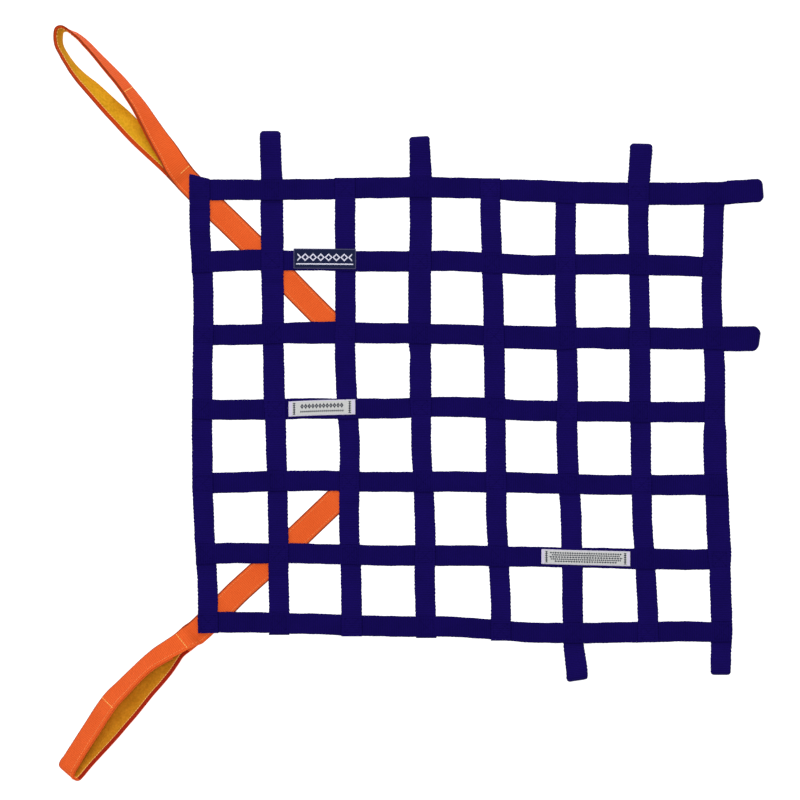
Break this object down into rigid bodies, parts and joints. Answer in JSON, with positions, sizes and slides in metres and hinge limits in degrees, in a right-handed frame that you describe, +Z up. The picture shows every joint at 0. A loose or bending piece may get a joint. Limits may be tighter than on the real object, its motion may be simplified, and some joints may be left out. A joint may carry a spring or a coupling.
{
  "type": "racing window net",
  "caption": "Woven racing window net of flat webbing with eye tabs on three sides and two orange corner pull loops, laid flat.",
  "frame": {"origin": "centre of the laid-out net's box, on the surface it lies on", "axes": "+X to the right along the rim, +Y towards the rim with the longer tabs, +Z up out of the face"},
  "size_m": [0.7086, 0.7537, 0.0251],
  "materials": {
    "navy_webbing": "matt woven polyester",
    "orange_webbing": "matt woven polyester",
    "ochre_lining": "brushed lining",
    "label_navy": "woven label",
    "label_pale": "woven label"
  },
  "bodies": {
    "root": {"strap_vertical_1": "navy_webbing", "strap_vertical_2": "navy_webbing", "strap_vertical_3": "navy_webbing", "strap_vertical_4": "navy_webbing", "strap_vertical_5": "navy_webbing", "strap_vertical_6": "navy_webbing", "strap_vertical_7": "navy_webbing", "strap_vertical_8": "navy_webbing", "strap_horizontal_1": "navy_webbing", "strap_horizontal_2": "navy_webbing", "strap_horizontal_3": "navy_webbing", "strap_horizontal_4": "navy_webbing", "strap_horizontal_5": "navy_webbing", "strap_horizontal_6": "navy_webbing", "strap_horizontal_7": "navy_webbing", "tab_top_2": "navy_webbing", "tab_top_4": "navy_webbing", "tab_top_7": "navy_webbing", "tab_right_1": "navy_webbing", "tab_right_3": "navy_webbing", "tab_bottom_6": "navy_webbing", "tab_bottom_8": "navy_webbing", "diagonal_upper": "orange_webbing", "diagonal_lower": "orange_webbing", "loop_upper": "orange_webbing", "loop_lower": "orange_webbing", "lining_upper": "ochre_lining", "lining_lower": "ochre_lining", "label_navy": "label_navy", "label_pale_left": "label_pale", "label_pale_right": "label_pale"}
  },
  "joints": []
}
